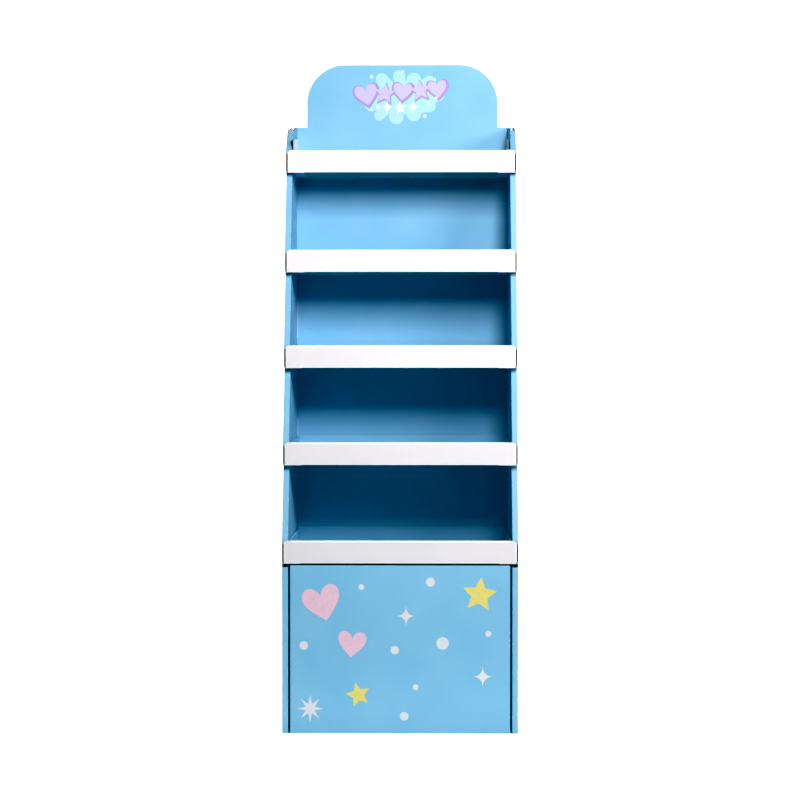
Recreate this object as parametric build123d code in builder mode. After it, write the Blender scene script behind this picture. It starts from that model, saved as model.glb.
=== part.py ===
"""Floor-standing cardboard display stand with five waterfall shelves, in millimetres.

The stand is folded from corrugated board. Two hollow side walls and a back panel carry five shelf
trays on tabs, each tray's front edge is capped by a folded white lip, a header card rises behind the
top tray, and a folded plinth box with slotted dividers fills the foot.

Frame: +Z up, the front faces -Y, and the origin is the middle of the footprint on the floor.
Rows are numbered from the lowest shelf (0) to the top shelf.
"""

import os
from math import atan2, degrees

from build123d import *

# ---- Driving dimensions -------------------------------------------------------------------------

stand_width = 600.0
stand_depth = 400.0

board = 3.0  # thickness of the corrugated board
wall_thickness = 15.0  # over both skins of a hollow side wall

shelf_count = 5
shelf_pitch = 248.2  # height from one lip's lower edge to the next
top_shelf_lift = 12.8  # the top shelf stands this much further up
shelf_step_back = 42.0  # each lip stands this far behind the one below
lowest_lip_bottom = 432.4
lip_height = 59.0
under_lip_step = 22.0  # the wall steps back this far below each lip
plinth_return_gap = 9.0  # the wall's front return is cut away this far under the lowest lip

crown_setback = 66.0  # the wall's top front corner behind the top lip
crown_height = 57.0  # the same corner above the top lip
crown_rise = 24.0  # from that corner up to the back

header_width = 514.0
header_height = 168.5  # above the shoulders of the back panel
header_corner_radius = 103.0

side_flange_height = 57.0  # of the lower trays, whose side flanges are folded over on themselves
rear_upstand_height = 64.0
top_flange_front = 84.0  # the top tray's side flanges are single, taller and rise to the back
top_flange_rise = 21.0
top_flange_corner_radius = 9.0

tab_length = 60.0  # tray tab, measured along the wall
tab_end_gap = 0.7  # from the tab's end to the glue flap inside the hollow wall
tab_inset = 24.0  # from the end of the tray floor to the tab

lip_corner_radius = 10.0
lip_hook_drop = 44.0  # flap that hooks down behind the tray's front upstand
lip_tab_depth = 11.0
lip_tab_height = 44.0
lip_tab_start = 5.0  # above the lip's lower edge

underflap_width = 504.0  # lip flap folded back under the tray floor
underflap_end_gap = 8.0  # short of the tray's rear edge
underflap_notch_width = 236.0
underflap_notch_depth = 88.0
underflap_notch_slant = 8.0
underflap_point_width = 54.0
underflap_point_length = 78.0

back_flap_depth = 60.0  # glue flap of the back panel, inside each hollow wall
back_flap_end_gap = 40.0  # the glue flap stops this far below the shoulders

plinth_width = 560.0
plinth_height = 428.0
plinth_recess = 1.0  # plinth front behind the front edges of the walls
plinth_rear_gap = 12.0
plinth_fold_radius = 4.0
divider_spacing = 280.0  # between the two cross dividers

# ---- Clearances ---------------------------------------------------------------------------------

clearance = 0.3  # between boards that lie against each other
slot_clearance = 0.5  # round a tab in its slot
tray_side_clearance = 1.0  # between a tray and the side wall
corner_gap = 1.5  # between neighbouring flanges at a tray's corner

# ---- Shared positions ---------------------------------------------------------------------------

front_y = -stand_depth / 2
back_y = stand_depth / 2
half_width = stand_width / 2
inner_half = half_width - wall_thickness

top_row = shelf_count - 1
back_front_y = back_y - board  # front face of the back panel
header_back_y = back_front_y - clearance
header_front_y = header_back_y - board

back_half = half_width - board - clearance
tab_half = back_half - board - tab_end_gap
lip_end_inset = board + slot_clearance  # the lip's end tab goes in beside the outer skin
lip_half = half_width - lip_end_inset
lip_section = board + clearance  # from a lip's face to what lies behind it
tray_half = inner_half - tray_side_clearance
flange_inner_half = tray_half - 2 * board  # inside a side flange that is folded over


def lip_face(row):
    """Front face of a lip, along Y."""
    return front_y + row * shelf_step_back


def lip_bottom(row):
    """Lower edge of a lip."""
    lift = top_shelf_lift if row == top_row else 0
    return lowest_lip_bottom + row * shelf_pitch + lift


def wall_edge(row):
    """Front edge of the side wall behind a lip, and outer face of the tray's front upstand."""
    return lip_face(row) + lip_section


def tray_bottom(row):
    """Underside of a tray floor, which lies on its lip's underflap."""
    return lip_bottom(row) + lip_section


def tray_back(row):
    """Rear face of a tray: the top tray stands in front of the header card."""
    behind = header_front_y if row == top_row else back_front_y
    return behind - clearance


def tab_centres(row):
    """Middles along Y of a tray's two tabs on each side."""
    inset = tab_inset + tab_length / 2
    return [wall_edge(row) + inset, tray_back(row) - inset]


crown_y = wall_edge(top_row) + crown_setback
crown_z = lip_bottom(top_row) + lip_height + crown_height
shoulder_z = crown_z + crown_rise
header_top_z = shoulder_z + header_height


def wall_step(row):
    """Point where the wall's sloping front edge ends, under the lip of this row."""
    if row > top_row:
        return (crown_y, crown_z)
    return (wall_edge(row) + under_lip_step, lip_bottom(row))


def front_return(row):
    """Front edge of the side wall from a lip's lower edge up to the step under the next lip."""
    lower = (wall_edge(row), lip_bottom(row))
    upper = (wall_edge(row), lip_bottom(row) + lip_height)
    return [lower, upper, wall_step(row + 1)]


def wall_outline(rear_y):
    """Side view of a wall as (y, z) points, ending at rear_y."""
    points = [(wall_edge(0), 0)]
    for row in range(shelf_count):
        points += front_return(row)
    rear_rise = crown_rise * (rear_y - crown_y) / (back_y - crown_y)
    return points + [(rear_y, crown_z + rear_rise), (rear_y, 0)]


def facing_front(y):
    """Plane that faces the front at this depth, with its x along X and its y along Z."""
    return Plane(origin=(0, y, 0), x_dir=(1, 0, 0), z_dir=(0, -1, 0))


def facing_right(x):
    """Plane that faces +X at this x, with its x along Y and its y along Z."""
    return Plane.YZ.offset(x)


# ---- Writing ------------------------------------------------------------------------------------

os.makedirs("parts", exist_ok=True)


def write(piece, name):
    """Label a finished piece and write its STEP file."""
    piece.part.label = name
    export_step(piece.part, f"parts/{name}.step")


# ---- Side walls: outer skin, front returns and inner skin, folded from one sheet --------------------

with BuildPart() as left_side_wall:
    with BuildSketch(facing_right(-half_width)):
        with BuildLine():
            Polyline(*wall_outline(back_y), close=True)
        make_face()
    extrude(amount=board)
    with BuildSketch(facing_right(-inner_half)):
        with BuildLine():
            Polyline(*wall_outline(back_front_y - clearance), close=True)
        make_face()
    extrude(amount=-board)
    returns = [front_return(row) for row in range(shelf_count)]
    returns.append([(wall_edge(0), 0), (wall_edge(0), lip_bottom(0) - plinth_return_gap)])
    for edge in returns:
        with BuildSketch(facing_right(-half_width)):
            with BuildLine():
                Polyline(*edge)
                offset(amount=board, side=Side.RIGHT, kind=Kind.INTERSECTION)
            make_face()
        extrude(amount=wall_thickness)
    for row in range(shelf_count):
        # Slots in the inner skin for the tray's tabs.
        for centre_y in tab_centres(row):
            slot_x = -inner_half - board / 2
            with Locations((slot_x, centre_y, tray_bottom(row) + board / 2)):
                Box(
                    board + 2 * slot_clearance,
                    tab_length + 2 * slot_clearance,
                    board + 2 * slot_clearance,
                    mode=Mode.SUBTRACT,
                )
        # Slot across the outer fold for the lip's end tab.
        slot_width = lip_end_inset + board + slot_clearance
        slot_z = lip_bottom(row) + lip_tab_start + lip_tab_height / 2
        with Locations((-half_width + slot_width / 2, wall_edge(row) + board / 2, slot_z)):
            Box(slot_width, board, lip_tab_height + 2 * slot_clearance, mode=Mode.SUBTRACT)
write(left_side_wall, "left_side_wall")

with BuildPart() as right_side_wall:
    mirror(left_side_wall.part, about=Plane.YZ)
write(right_side_wall, "right_side_wall")

# ---- Back panel, with a glue flap folded forward into each hollow wall ------------------------------

with BuildPart() as back_panel:
    with BuildSketch(Plane.XY):
        with Locations((0, back_y - board / 2)):
            Rectangle(2 * back_half, board)
    extrude(amount=shoulder_z)
    with BuildSketch(Plane.XY):
        with GridLocations(2 * back_half - board, 0, 2, 1):
            with Locations((0, back_front_y - back_flap_depth / 2)):
                Rectangle(board, back_flap_depth)
    extrude(amount=shoulder_z - back_flap_end_gap)
write(back_panel, "back_panel")

# ---- Header card, standing between the top tray and the back panel ----------------------------------

with BuildPart() as header_card:
    with BuildSketch(facing_front(header_front_y)) as header_outline:
        with Locations((0, (tray_bottom(top_row) + shoulder_z) / 2)):
            Rectangle(2 * tray_half, shoulder_z - tray_bottom(top_row))
        with Locations((0, shoulder_z + header_height / 2)):
            Rectangle(header_width, header_height)
        fillet(header_outline.vertices().group_by(Axis.Y)[-1], header_corner_radius)
    extrude(amount=-board)
write(header_card, "header_card")

# ---- Shelf trays: a floor with four upstands, and tabs through the slots of the walls ---------------

for row in range(shelf_count):
    front = wall_edge(row)
    rear = tray_back(row)
    floor_z = tray_bottom(row)
    front_top = lip_bottom(row) + lip_height - lip_section
    flange_front = top_flange_front if row == top_row else side_flange_height
    flange_rise = top_flange_rise if row == top_row else 0
    flange_thickness = board if row == top_row else 2 * board
    with BuildPart() as shelf_tray:
        with BuildSketch(Plane.XY.offset(floor_z)):
            with Locations((0, (front + rear) / 2)):
                Rectangle(2 * tray_half, rear - front)
            for centre_y in tab_centres(row):
                with Locations((0, centre_y)):
                    Rectangle(2 * tab_half, tab_length)
        extrude(amount=board)
        with BuildSketch(Plane.XY.offset(floor_z)):
            with Locations((0, front + board / 2)):
                Rectangle(2 * tray_half, board)
        extrude(amount=front_top - floor_z)
        with BuildSketch(Plane.XY.offset(floor_z)):
            with Locations((0, rear - board / 2)):
                Rectangle(2 * tray_half, board)
        extrude(amount=rear_upstand_height)
        flange_ends = (front + board + corner_gap, rear - board - corner_gap)
        for side_x in (-tray_half, tray_half - flange_thickness):
            with BuildSketch(facing_right(side_x)) as side_flange:
                with BuildLine():
                    Polyline(
                        (flange_ends[0], floor_z),
                        (flange_ends[0], floor_z + flange_front),
                        (flange_ends[1], floor_z + flange_front + flange_rise),
                        (flange_ends[1], floor_z),
                        close=True,
                    )
                make_face()
                if row == top_row:
                    fillet(side_flange.vertices().sort_by(Axis.Y)[-2:], top_flange_corner_radius)
            extrude(amount=flange_thickness)
    write(shelf_tray, f"shelf_tray_{row + 1}")

# ---- Shelf lips: a face over the tray front and wall edges, hooked over the tray and folded under it --

for row in range(shelf_count):
    face = lip_face(row)
    low = lip_bottom(row)
    high = low + lip_height
    hook_back = face + lip_section + board + clearance + board
    hook_half = flange_inner_half - clearance
    underflap_back = tray_back(row) - underflap_end_gap
    notch_y = underflap_back - underflap_notch_depth
    with BuildPart() as shelf_lip:
        with BuildSketch(facing_front(face)) as face_panel:
            with Locations((0, low + lip_height / 2)):
                Rectangle(2 * lip_half, lip_height)
            fillet(face_panel.vertices().group_by(Axis.Y)[-1], lip_corner_radius)
        extrude(amount=-board)
        with BuildSketch(facing_right(-hook_half)):
            with BuildLine():
                Polyline(
                    (face, high - board),
                    (face, high),
                    (hook_back, high),
                    (hook_back, high - lip_hook_drop),
                    (hook_back - board, high - lip_hook_drop),
                    (hook_back - board, high - board),
                    close=True,
                )
            make_face()
        extrude(amount=2 * hook_half)
        with BuildSketch(Plane.XY.offset(low)):
            with BuildLine():
                Polyline(
                    (-underflap_width / 2, face),
                    (-underflap_width / 2, underflap_back),
                    (-underflap_notch_width / 2, underflap_back),
                    (-underflap_notch_width / 2 + underflap_notch_slant, notch_y),
                    (-underflap_point_width / 2, notch_y),
                    (0, notch_y + underflap_point_length),
                    (underflap_point_width / 2, notch_y),
                    (underflap_notch_width / 2 - underflap_notch_slant, notch_y),
                    (underflap_notch_width / 2, underflap_back),
                    (underflap_width / 2, underflap_back),
                    (underflap_width / 2, face),
                    close=True,
                )
            make_face()
        extrude(amount=board)
        tab_z = low + lip_tab_start + lip_tab_height / 2
        with BuildSketch(Plane.XY.offset(tab_z)):
            with GridLocations(2 * lip_half - board, 0, 2, 1):
                with Locations((0, face + board + lip_tab_depth / 2)):
                    Rectangle(board, lip_tab_depth)
        extrude(amount=lip_tab_height / 2, both=True)
    write(shelf_lip, f"shelf_lip_{row + 1}")

# ---- Plinth box: one sheet folded into an open-ended tube -------------------------------------------

plinth_front_y = wall_edge(0) + plinth_recess
plinth_rear_y = back_front_y - plinth_rear_gap
plinth_mid_y = (plinth_front_y + plinth_rear_y) / 2
plinth_depth = plinth_rear_y - plinth_front_y

with BuildPart() as plinth_box:
    with BuildSketch(Plane.XY):
        with Locations((0, plinth_mid_y)):
            RectangleRounded(plinth_width, plinth_depth, plinth_fold_radius)
            RectangleRounded(
                plinth_width - 2 * board,
                plinth_depth - 2 * board,
                plinth_fold_radius - board,
                mode=Mode.SUBTRACT,
            )
    extrude(amount=plinth_height)
write(plinth_box, "plinth_box")

# ---- Plinth dividers: boards slotted across each other, which carry the lowest tray -----------------

divider_height = lip_bottom(0) - clearance
divider_slot = board + 2 * slot_clearance
cross_slot_height = divider_height / 2 + clearance
divider_length = plinth_width - 2 * board - 2 * clearance
divider_depth = plinth_depth - 2 * board - 2 * clearance

with BuildPart() as plinth_divider_long:
    with BuildSketch(facing_front(plinth_mid_y - board / 2)):
        with Locations((0, divider_height / 2)):
            Rectangle(divider_length, divider_height)
        with Locations((0, divider_height * 3 / 4)):
            with GridLocations(divider_spacing, 0, 2, 1):
                Rectangle(divider_slot, divider_height / 2, mode=Mode.SUBTRACT)
    extrude(amount=-board)
write(plinth_divider_long, "plinth_divider_long")

for name, side in (("plinth_divider_left", -1), ("plinth_divider_right", 1)):
    with BuildPart() as plinth_divider:
        with BuildSketch(facing_right(side * divider_spacing / 2 - board / 2)):
            with Locations((plinth_mid_y, divider_height / 2)):
                Rectangle(divider_depth, divider_height)
            with Locations((plinth_mid_y, cross_slot_height / 2)):
                Rectangle(divider_slot, cross_slot_height, mode=Mode.SUBTRACT)
        extrude(amount=board)
    write(plinth_divider, name)
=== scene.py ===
"""Looks of a cardboard display stand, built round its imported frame.

Every visible sheet of the stand is made again as a folded sheet of corrugated board. The printed
surface is laid out as panels and flaps, its folds are rounded, and the board is thickened inwards,
so that each sheet has a printed face, a plain liner and raw edges. Sizes are in metres unless a
name ends in _mm.
"""

import logging
import math
from dataclasses import dataclass, field, replace
from enum import Enum
from typing import Iterable, Sequence

import bmesh
import bpy
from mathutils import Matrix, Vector


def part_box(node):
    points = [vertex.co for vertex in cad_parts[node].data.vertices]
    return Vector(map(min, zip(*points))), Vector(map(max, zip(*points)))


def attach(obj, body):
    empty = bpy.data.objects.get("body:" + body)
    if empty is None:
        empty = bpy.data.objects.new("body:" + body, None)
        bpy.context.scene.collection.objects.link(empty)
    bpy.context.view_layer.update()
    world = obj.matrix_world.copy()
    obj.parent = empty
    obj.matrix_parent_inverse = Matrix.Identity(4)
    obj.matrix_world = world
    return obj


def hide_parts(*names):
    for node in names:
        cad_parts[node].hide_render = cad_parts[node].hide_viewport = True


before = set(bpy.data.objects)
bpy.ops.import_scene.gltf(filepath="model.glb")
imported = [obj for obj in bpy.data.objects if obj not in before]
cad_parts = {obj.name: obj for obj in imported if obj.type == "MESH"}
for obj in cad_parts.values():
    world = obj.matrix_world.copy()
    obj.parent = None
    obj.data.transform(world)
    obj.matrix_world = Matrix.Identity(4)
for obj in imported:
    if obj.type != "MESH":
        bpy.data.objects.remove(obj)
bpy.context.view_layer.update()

MM = 0.001
BODY = "root"
PRINT_LIFT = 0.12 * MM  # gap between a printed face and each layer of print over it
SHAPE_LIFT = 0.01 * MM  # gap between shapes of one layer, so that those that cross stay apart
log = logging.getLogger("display_stand")

Pair = tuple[float, float]
Point = tuple[float, float, float]
Outline = list[Pair]


# ---- Finishes -----------------------------------------------------------------------------------


def linear(hex_colour: str) -> tuple[float, float, float, float]:
    """Turns an sRGB hex colour to the linear colour that a shader takes.

    Args:
        hex_colour: The colour as "#RRGGBB".

    Returns:
        Red, green, blue and an alpha of 1, all linear.
    """
    channels = (int(hex_colour[i : i + 2], 16) / 255 for i in (1, 3, 5))
    red, green, blue = (
        c / 12.92 if c <= 0.04045 else ((c + 0.055) / 1.055) ** 2.4 for c in channels
    )
    return (red, green, blue, 1.0)


def add_node(
    tree: bpy.types.NodeTree,
    kind: str,
    links: dict[str | int, bpy.types.NodeSocket] | None = None,
    values: dict[str | int, object] | None = None,
    **settings: object,
) -> bpy.types.Node:
    """Adds one shader node.

    Args:
        tree: The node tree that gets it.
        kind: The node's type, such as "ShaderNodeMath".
        links: Sockets that feed its inputs, by input name or number.
        values: Fixed values of its inputs, by input name or number.
        settings: The node's own properties.

    Returns:
        The new node.
    """
    node = tree.nodes.new(kind)
    for name, setting in settings.items():
        setattr(node, name, setting)
    for key, value in (values or {}).items():
        node.inputs[key].default_value = value
    for key, socket in (links or {}).items():
        tree.links.new(socket, node.inputs[key])
    return node


def start_material(
    name: str, values: dict[str, float]
) -> tuple[bpy.types.Material, bpy.types.Node]:
    """Starts a node material.

    Args:
        name: The material's name.
        values: What is the same all over the surface, by the shader's input.

    Returns:
        The material and its shader.
    """
    material = bpy.data.materials.new(name)
    material.use_nodes = True
    shader = material.node_tree.nodes["Principled BSDF"]
    for key, value in values.items():
        shader.inputs[key].default_value = value
    return material, shader


@dataclass(frozen=True)
class Board:
    """Single-wall corrugated board."""

    thickness: float = 3.0 * MM
    flute_pitch: float = 6.5 * MM
    outer_fold: float = 1.7 * MM  # radius of the printed face over the outside of a fold
    inner_fold: float = 0.9 * MM  # and on the inside of one


BOARD = Board()


@dataclass(frozen=True)
class Grain:
    """Sizes of the marks that the patterns draw, and how deep their relief is."""

    ink_cloud: float = 110.0 * MM  # drift of the ink's density across a sheet
    bow: float = 165.0 * MM  # slow waves of a board that isn't quite flat
    cracked_ink: float = 3.8 * MM  # drawn coarser than real pinholes, so that they show
    cut_fibre: float = 2.4 * MM  # fuzz on a cut edge, coarser than real so that it shows
    kraft_fibre: float = 3.3 * MM
    bow_depth: float = 6.0 * MM
    flute_depth: float = 0.3 * MM
    fuzz_depth: float = 0.4 * MM
    noise_span: Pair = (0.3, 0.7)  # most of a noise pattern's values lie between these


GRAIN = Grain()


@dataclass(frozen=True)
class CoatedFace:
    """Smooth paper liner, litho printed or left white, with or without a varnish.

    It has a soft sheen, and the flutes show through the paper as a faint washboard.
    """

    name: str
    ink: str
    roughness: float = 0.5
    sheen_level: float = 0.35
    varnish: float = 0.0
    varnish_roughness: float = 0.3
    ior: float = 1.5  # of the paper's coating
    gloss_drift: float = 0.05  # how far the roughness wanders
    mottle: float = 0.05  # how far the ink's density wanders
    washboard: float = 0.10  # strength of the ridges over the flutes
    bow: float = 0.25  # strength of the slow waves
    wear: float = 0.0  # how much of the ink has cracked off, from 0 to 1
    bare: str = "#F4F6FA"

    def make(self) -> bpy.types.Material:
        """Builds the node material.

        Returns:
            The material.
        """
        constants = {
            "Specular IOR Level": self.sheen_level,
            "Coat Weight": self.varnish,
            "Coat Roughness": self.varnish_roughness,
            "IOR": self.ior,
        }
        material, shader = start_material(self.name, constants)
        tree = material.node_tree
        coords = add_node(tree, "ShaderNodeTexCoord").outputs["Object"]
        cloudy = add_node(
            tree,
            "ShaderNodeTexNoise",
            {"Vector": coords},
            {"Scale": 1 / GRAIN.ink_cloud, "Detail": 3.0},
        )
        thin, full = GRAIN.noise_span
        density = add_node(
            tree,
            "ShaderNodeMapRange",
            {"Value": cloudy.outputs["Fac"]},
            {"From Min": thin, "From Max": full, "To Min": 1 - self.mottle, "To Max": 1.0},
        )
        ink = add_node(
            tree,
            "ShaderNodeMix",
            {0: density.outputs["Result"]},
            {6: linear(self.bare), 7: linear(self.ink)},
            data_type="RGBA",
        )
        colour = ink.outputs[2]
        if self.wear:
            colour = self._worn(tree, coords, colour)
        tree.links.new(colour, shader.inputs["Base Color"])
        gloss = add_node(
            tree,
            "ShaderNodeMapRange",
            {"Value": cloudy.outputs["Fac"]},
            {
                "To Min": self.roughness - self.gloss_drift,
                "To Max": self.roughness + self.gloss_drift,
            },
        )
        tree.links.new(gloss.outputs["Result"], shader.inputs["Roughness"])
        tree.links.new(self._relief(tree, coords), shader.inputs["Normal"])
        return material

    def _worn(
        self, tree: bpy.types.NodeTree, coords: bpy.types.NodeSocket, colour: bpy.types.NodeSocket
    ) -> bpy.types.NodeSocket:
        """Adds small flecks where the ink has come off.

        Args:
            tree: The material's node tree.
            coords: The object coordinates.
            colour: The ink's colour.

        Returns:
            The colour with the flecks.
        """
        unworn_start, shift_of_full_wear, soft_rim = 0.62, 0.3, 0.1  # in the noise's own values
        start = unworn_start - shift_of_full_wear * self.wear
        flecks = add_node(
            tree,
            "ShaderNodeTexNoise",
            {"Vector": coords},
            {"Scale": 1 / GRAIN.cracked_ink, "Detail": 4.0},
        )
        cracked = add_node(
            tree,
            "ShaderNodeMapRange",
            {"Value": flecks.outputs["Fac"]},
            {"From Min": start, "From Max": start + soft_rim},
        )
        worn = add_node(
            tree,
            "ShaderNodeMix",
            {0: cracked.outputs["Result"], 6: colour},
            {7: linear(self.bare)},
            data_type="RGBA",
        )
        return worn.outputs[2]

    def _relief(
        self, tree: bpy.types.NodeTree, coords: bpy.types.NodeSocket
    ) -> bpy.types.NodeSocket:
        """Adds the washboard and the paper's slight waviness.

        Args:
            tree: The material's node tree.
            coords: The object coordinates.

        Returns:
            The bumped normal.
        """
        ridges = flute_wave(tree, coords)
        waves = add_node(
            tree, "ShaderNodeTexNoise", {"Vector": coords}, {"Scale": 1 / GRAIN.bow, "Detail": 1.0}
        )
        wavy = add_node(
            tree,
            "ShaderNodeBump",
            {"Height": waves.outputs["Fac"]},
            {"Strength": self.bow, "Distance": GRAIN.bow_depth},
        )
        ridged = add_node(
            tree,
            "ShaderNodeBump",
            {"Height": ridges, "Normal": wavy.outputs["Normal"]},
            {"Strength": self.washboard, "Distance": GRAIN.flute_depth},
        )
        return ridged.outputs["Normal"]


def flute_wave(tree: bpy.types.NodeTree, coords: bpy.types.NodeSocket) -> bpy.types.NodeSocket:
    """Adds a wave with the pitch of the upright flutes, on panels that face the front or a side.

    Args:
        tree: The material's node tree.
        coords: The object coordinates.

    Returns:
        A value from -1 to 1.
    """
    parts = add_node(tree, "ShaderNodeSeparateXYZ", {"Vector": coords})
    along = add_node(
        tree,
        "ShaderNodeMath",
        {0: parts.outputs["X"], 1: parts.outputs["Y"]},
        operation="ADD",
    )
    turns = add_node(
        tree,
        "ShaderNodeMath",
        {0: along.outputs[0]},
        {1: 2 * math.pi / BOARD.flute_pitch},
        operation="MULTIPLY",
    )
    return add_node(tree, "ShaderNodeMath", {0: turns.outputs[0]}, operation="SINE").outputs[0]


@dataclass(frozen=True)
class RawEdge:
    """Cut edge of the board: flutes of the medium, painted shade in the hollows, matt and fuzzy."""

    name: str
    medium: str = "#7C5532"
    # painted shade: the dark of the hollows between the flutes
    hollow: str = "#3A271A"
    roughness: float = 0.9
    sheen_level: float = 0.2
    fuzz: float = 0.6

    def make(self) -> bpy.types.Material:
        """Builds the node material.

        Returns:
            The material.
        """
        constants = {"Roughness": self.roughness, "Specular IOR Level": self.sheen_level}
        material, shader = start_material(self.name, constants)
        tree = material.node_tree
        coords = add_node(tree, "ShaderNodeTexCoord").outputs["Object"]
        # painted shade: the hollow's colour where the flute wave is low
        shade = add_node(
            tree,
            "ShaderNodeMapRange",
            {"Value": flute_wave(tree, coords)},
            {"From Min": -1.0, "From Max": 1.0},
        )
        fibre = add_node(
            tree,
            "ShaderNodeTexNoise",
            {"Vector": coords},
            {"Scale": 1 / GRAIN.cut_fibre, "Detail": 3.0},
        )
        mixed = add_node(
            tree,
            "ShaderNodeMix",
            {0: shade.outputs["Result"]},
            {6: linear(self.hollow), 7: linear(self.medium)},
            data_type="RGBA",
        )
        tree.links.new(mixed.outputs[2], shader.inputs["Base Color"])
        fuzz = add_node(
            tree,
            "ShaderNodeBump",
            {"Height": fibre.outputs["Fac"]},
            {"Strength": self.fuzz, "Distance": GRAIN.fuzz_depth},
        )
        tree.links.new(fuzz.outputs["Normal"], shader.inputs["Normal"])
        return material


@dataclass(frozen=True)
class KraftFace:
    """Uncoated kraft liner: brown paper with darker fibres, quite matt."""

    name: str
    paper: str = "#B58C5E"
    fibre: str = "#93693F"
    roughness: float = 0.85
    fibre_length: float = 5.0  # over its width
    washboard: float = 0.15

    def make(self) -> bpy.types.Material:
        """Builds the node material.

        Returns:
            The material.
        """
        material, shader = start_material(self.name, {"Roughness": self.roughness})
        tree = material.node_tree
        coords = add_node(tree, "ShaderNodeTexCoord").outputs["Object"]
        stretch = (1.0, 1.0, 1 / self.fibre_length)
        drawn = add_node(tree, "ShaderNodeMapping", {"Vector": coords}, {"Scale": stretch})
        fibres = add_node(
            tree,
            "ShaderNodeTexNoise",
            {"Vector": drawn.outputs["Vector"]},
            {"Scale": 1 / GRAIN.kraft_fibre, "Detail": 4.0},
        )
        mixed = add_node(
            tree,
            "ShaderNodeMix",
            {0: fibres.outputs["Fac"]},
            {6: linear(self.paper), 7: linear(self.fibre)},
            data_type="RGBA",
        )
        tree.links.new(mixed.outputs[2], shader.inputs["Base Color"])
        relief = add_node(
            tree,
            "ShaderNodeBump",
            {"Height": flute_wave(tree, coords)},
            {"Strength": self.washboard, "Distance": GRAIN.flute_depth},
        )
        tree.links.new(relief.outputs["Normal"], shader.inputs["Normal"])
        return material


BLUE_INK = "#8CBADA"
WHITE_COAT = "#DFD7DC"


@dataclass(frozen=True)
class BoardFinish:
    """The surfaces of one kind of board, and the record's slot that it belongs to."""

    slot: str
    face: bpy.types.Material
    # over the folds: painted shade on the printed blue board, a painted highlight on the white one
    fold: bpy.types.Material
    # on the white board the underside is painted darker, as painted shade under the shelves
    under: bpy.types.Material  # outside of a flap that is folded under
    liner: bpy.types.Material
    edge: bpy.types.Material

    def dress(self, piece: bpy.types.Object) -> None:
        """Fills a piece's slots: three for the outside, then three for the liner, three for edges.

        Args:
            piece: A piece that Sheet has made.
        """
        outside = (self.face, self.fold, self.under)
        for material in (*outside, *[self.liner] * 3, *[self.edge] * 3):
            piece.data.materials.append(material)


# ---- Folded sheets ------------------------------------------------------------------------------


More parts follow.
